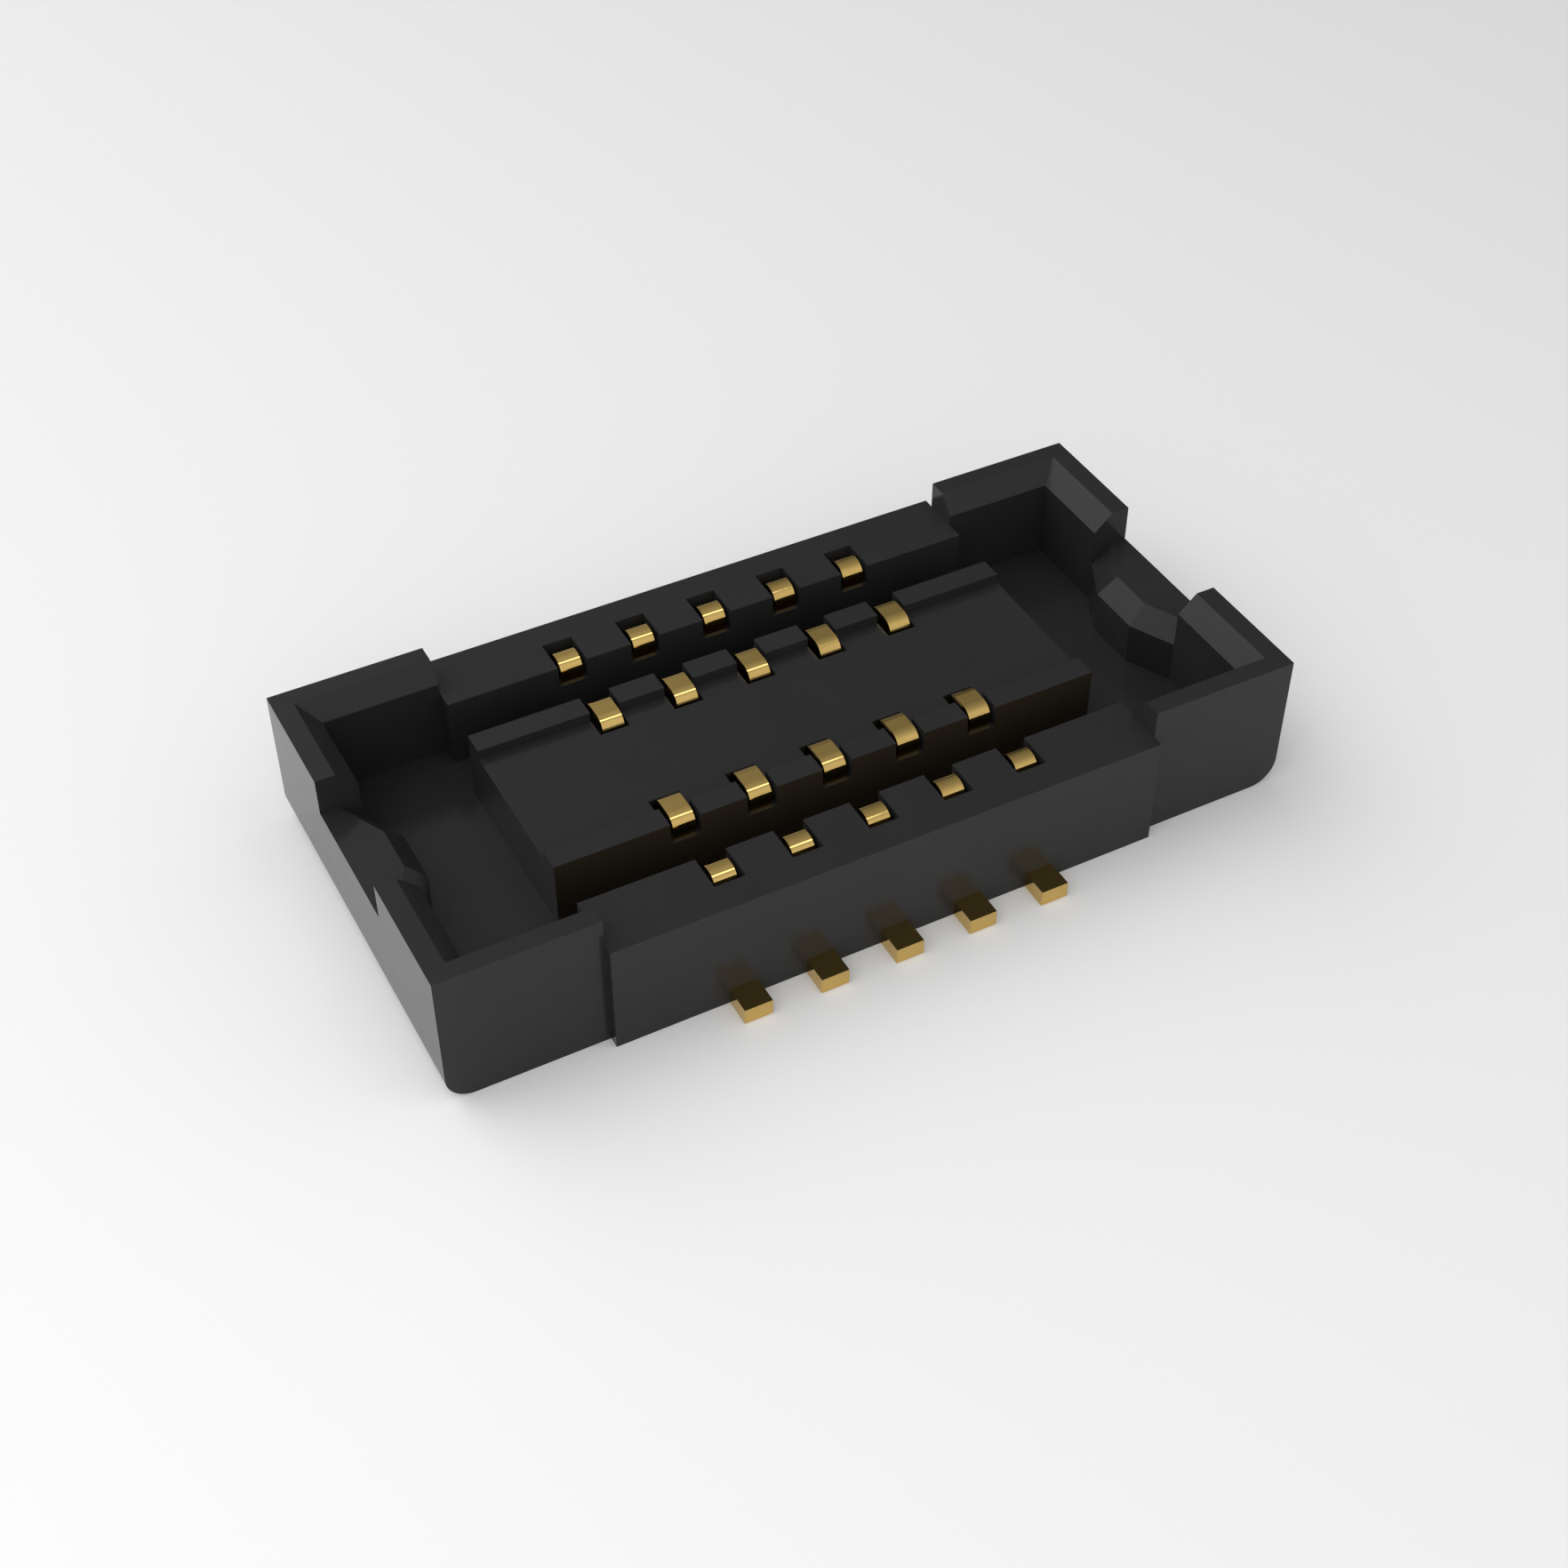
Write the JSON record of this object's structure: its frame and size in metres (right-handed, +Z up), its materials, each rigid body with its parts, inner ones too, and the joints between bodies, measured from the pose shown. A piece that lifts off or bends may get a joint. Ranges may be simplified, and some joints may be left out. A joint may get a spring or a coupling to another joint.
{
  "type": "board to board connector",
  "caption": "Low profile surface mount board to board connector: black housing with raised end towers, a central island, and gold contacts with flat solder tails along both long sides.",
  "frame": {"origin": "middle of the underside, where the housing and the solder tails rest on the circuit board", "axes": "+X along the contact rows, +Y towards the back row, +Z up from the circuit board towards the mating half"},
  "size_m": [0.0044, 0.0026, 0.0008],
  "materials": {
    "housing_plastic": "satin",
    "contact_metal": "gold plated, satin"
  },
  "bodies": {
    "root": {"housing": "housing_plastic", "contact_front_1": "contact_metal", "contact_front_2": "contact_metal", "contact_front_3": "contact_metal", "contact_front_4": "contact_metal", "contact_front_5": "contact_metal", "contact_back_1": "contact_metal", "contact_back_2": "contact_metal", "contact_back_3": "contact_metal", "contact_back_4": "contact_metal", "contact_back_5": "contact_metal"}
  },
  "joints": []
}
